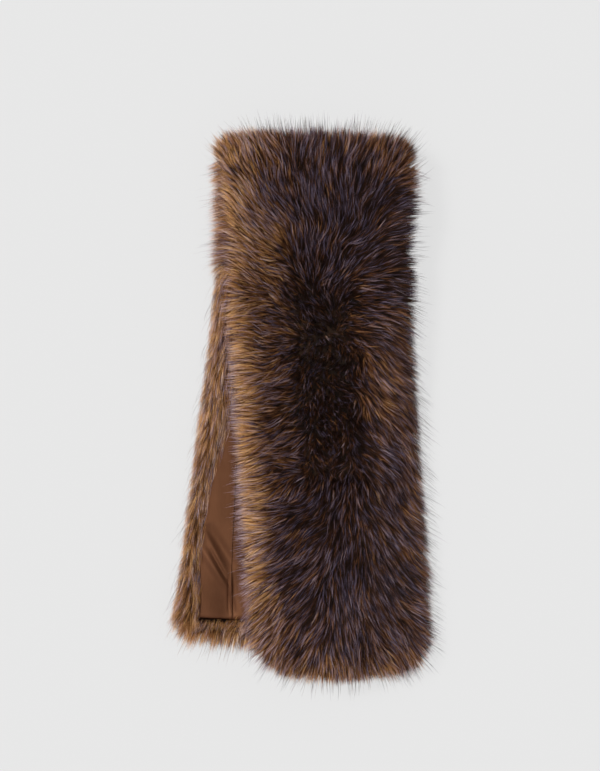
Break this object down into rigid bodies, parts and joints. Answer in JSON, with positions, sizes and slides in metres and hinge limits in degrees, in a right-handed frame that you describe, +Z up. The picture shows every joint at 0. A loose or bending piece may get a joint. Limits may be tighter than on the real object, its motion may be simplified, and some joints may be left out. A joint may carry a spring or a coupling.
{
  "type": "fur collar wrap",
  "caption": "Long deep-pile fur collar wrap with a satin lining, folded across its middle and laid flat with the lining showing beside the upper stretch.",
  "frame": {"origin": "middle of the box, on the surface that the wrap lies on", "axes": "+Y along the wrap towards its fold, +X across it towards the side where the front stretch overhangs, +Z up out of the pile"},
  "size_m": [0.2614, 0.5571, 0.052],
  "materials": {
    "fur": "long brown pile with dark and violet-grey guard hairs",
    "lining": "brown satin weave with a low sheen"
  },
  "bodies": {
    "root": {"fur_front": "fur", "fur_fold": "fur", "fur_back": "fur", "lining_main": "lining", "lining_side": "lining"}
  },
  "joints": []
}
